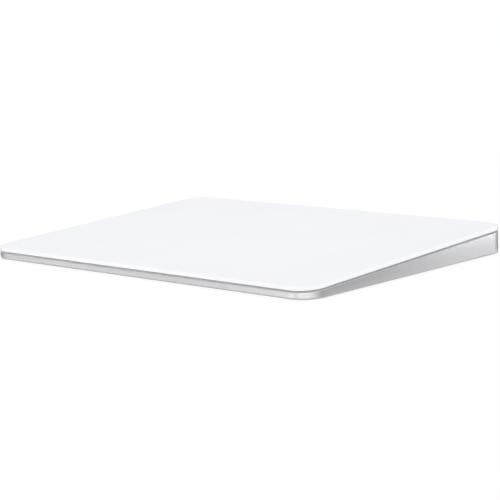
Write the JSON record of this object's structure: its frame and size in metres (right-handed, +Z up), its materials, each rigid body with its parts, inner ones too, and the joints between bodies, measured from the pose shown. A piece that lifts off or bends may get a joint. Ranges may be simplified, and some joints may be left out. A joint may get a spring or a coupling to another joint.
{
  "type": "desk trackpad",
  "caption": "Slim wedge-shaped desk trackpad: glass touch plate on a machined metal housing, with force beams, haptic drive, battery, rear port and slide power switch.",
  "frame": {"origin": "on the desk, under the middle of the plan outline", "axes": "+X to the user's right along the width, +Y to the rear, where the wedge is tall, +Z up"},
  "size_m": [0.16, 0.115, 0.0109],
  "materials": {
    "anodised_aluminium": "satin",
    "white_glass": "satin",
    "seal_foam": "matte",
    "foot_rubber": "matte",
    "bond_film": "matte",
    "circuit_board": "satin",
    "spring_steel": "satin",
    "gauge_film": "satin",
    "silicone_pad": "matte",
    "screw_steel": "satin",
    "core_steel": "matte",
    "copper_winding": "gloss",
    "cell_pouch": "satin",
    "white_tape": "matte",
    "chip_black": "matte",
    "tinned_steel": "satin",
    "ribbon_polyimide": "gloss",
    "connector_plastic": "matte",
    "capacitor_ceramic": "matte",
    "port_steel": "satin",
    "port_plastic": "satin",
    "contact_gold": "gloss",
    "green_marker": "gloss"
  },
  "bodies": {
    "housing": {"antenna_element": "contact_gold", "base_housing": "anodised_aluminium", "battery_adhesive": "white_tape", "battery_cell": "cell_pouch", "battery_connector": "connector_plastic", "battery_flex": "ribbon_polyimide", "battery_guard_board": "circuit_board", "beam_screws": "screw_steel", "board_capacitors": "capacitor_ceramic", "foot_front_left": "foot_rubber", "foot_front_right": "foot_rubber", "foot_rear_left": "foot_rubber", "foot_rear_right": "foot_rubber", "force_beam_front_left": "spring_steel", "force_beam_front_right": "spring_steel", "force_beam_rear_left": "spring_steel", "force_beam_rear_right": "spring_steel", "gauge_connectors": "connector_plastic", "gauge_ribbon_left": "ribbon_polyimide", "gauge_ribbon_right": "ribbon_polyimide", "haptic_bracket": "tinned_steel", "haptic_coils_left": "copper_winding", "haptic_coils_right": "copper_winding", "haptic_connector": "connector_plastic", "haptic_core_left": "core_steel", "haptic_core_right": "core_steel", "haptic_flex": "ribbon_polyimide", "haptic_screws": "screw_steel", "logic_board": "circuit_board", "logic_board_screws": "screw_steel", "on_marker": "green_marker", "perimeter_seal": "seal_foam", "port_contacts": "contact_gold", "port_insulator": "port_plastic", "port_shell": "port_steel", "processor_shield": "tinned_steel", "radio_shield": "tinned_steel", "strain_gauge_front_left": "gauge_film", "strain_gauge_front_right": "gauge_film", "strain_gauge_rear_left": "gauge_film", "strain_gauge_rear_right": "gauge_film", "switch_body": "chip_black", "switch_plate": "chip_black", "touch_connector_lower": "connector_plastic", "touch_flex": "ribbon_polyimide"},
    "gel_pads": {"beam_pad_front_left": "silicone_pad", "beam_pad_front_right": "silicone_pad", "beam_pad_rear_left": "silicone_pad", "beam_pad_rear_right": "silicone_pad"},
    "touch_plate": {"touch_glass": "white_glass", "glass_bond": "bond_film", "touch_sensor_board": "circuit_board", "touch_controller": "chip_black", "touch_connector_upper": "connector_plastic", "stiffener_plate": "spring_steel", "armature_bar": "core_steel"},
    "switch_slider": {"power_slider": "anodised_aluminium", "slider_clip": "connector_plastic"}
  },
  "joints": [
    {"name": "plate_press", "type": "slide", "parent": "housing", "child": "gel_pads", "axis": [0, 0.0521, -0.9986], "range_m": [0, 0.0002], "stiffness_N_per_m": 10000, "springref_m": -0.0003, "deforming": ["force_beam_front_left", "force_beam_front_right", "force_beam_rear_left", "force_beam_rear_right", "touch_flex"]},
    {"name": "haptic_shake", "type": "slide", "parent": "gel_pads", "child": "touch_plate", "axis": [1, 0, 0], "range_m": [-0.0001, 0.0001], "stiffness_N_per_m": 8000},
    {"name": "power_slide", "type": "slide", "parent": "housing", "child": "switch_slider", "axis": [-1, 0, 0], "range_m": [0, 0.003]}
  ]
}
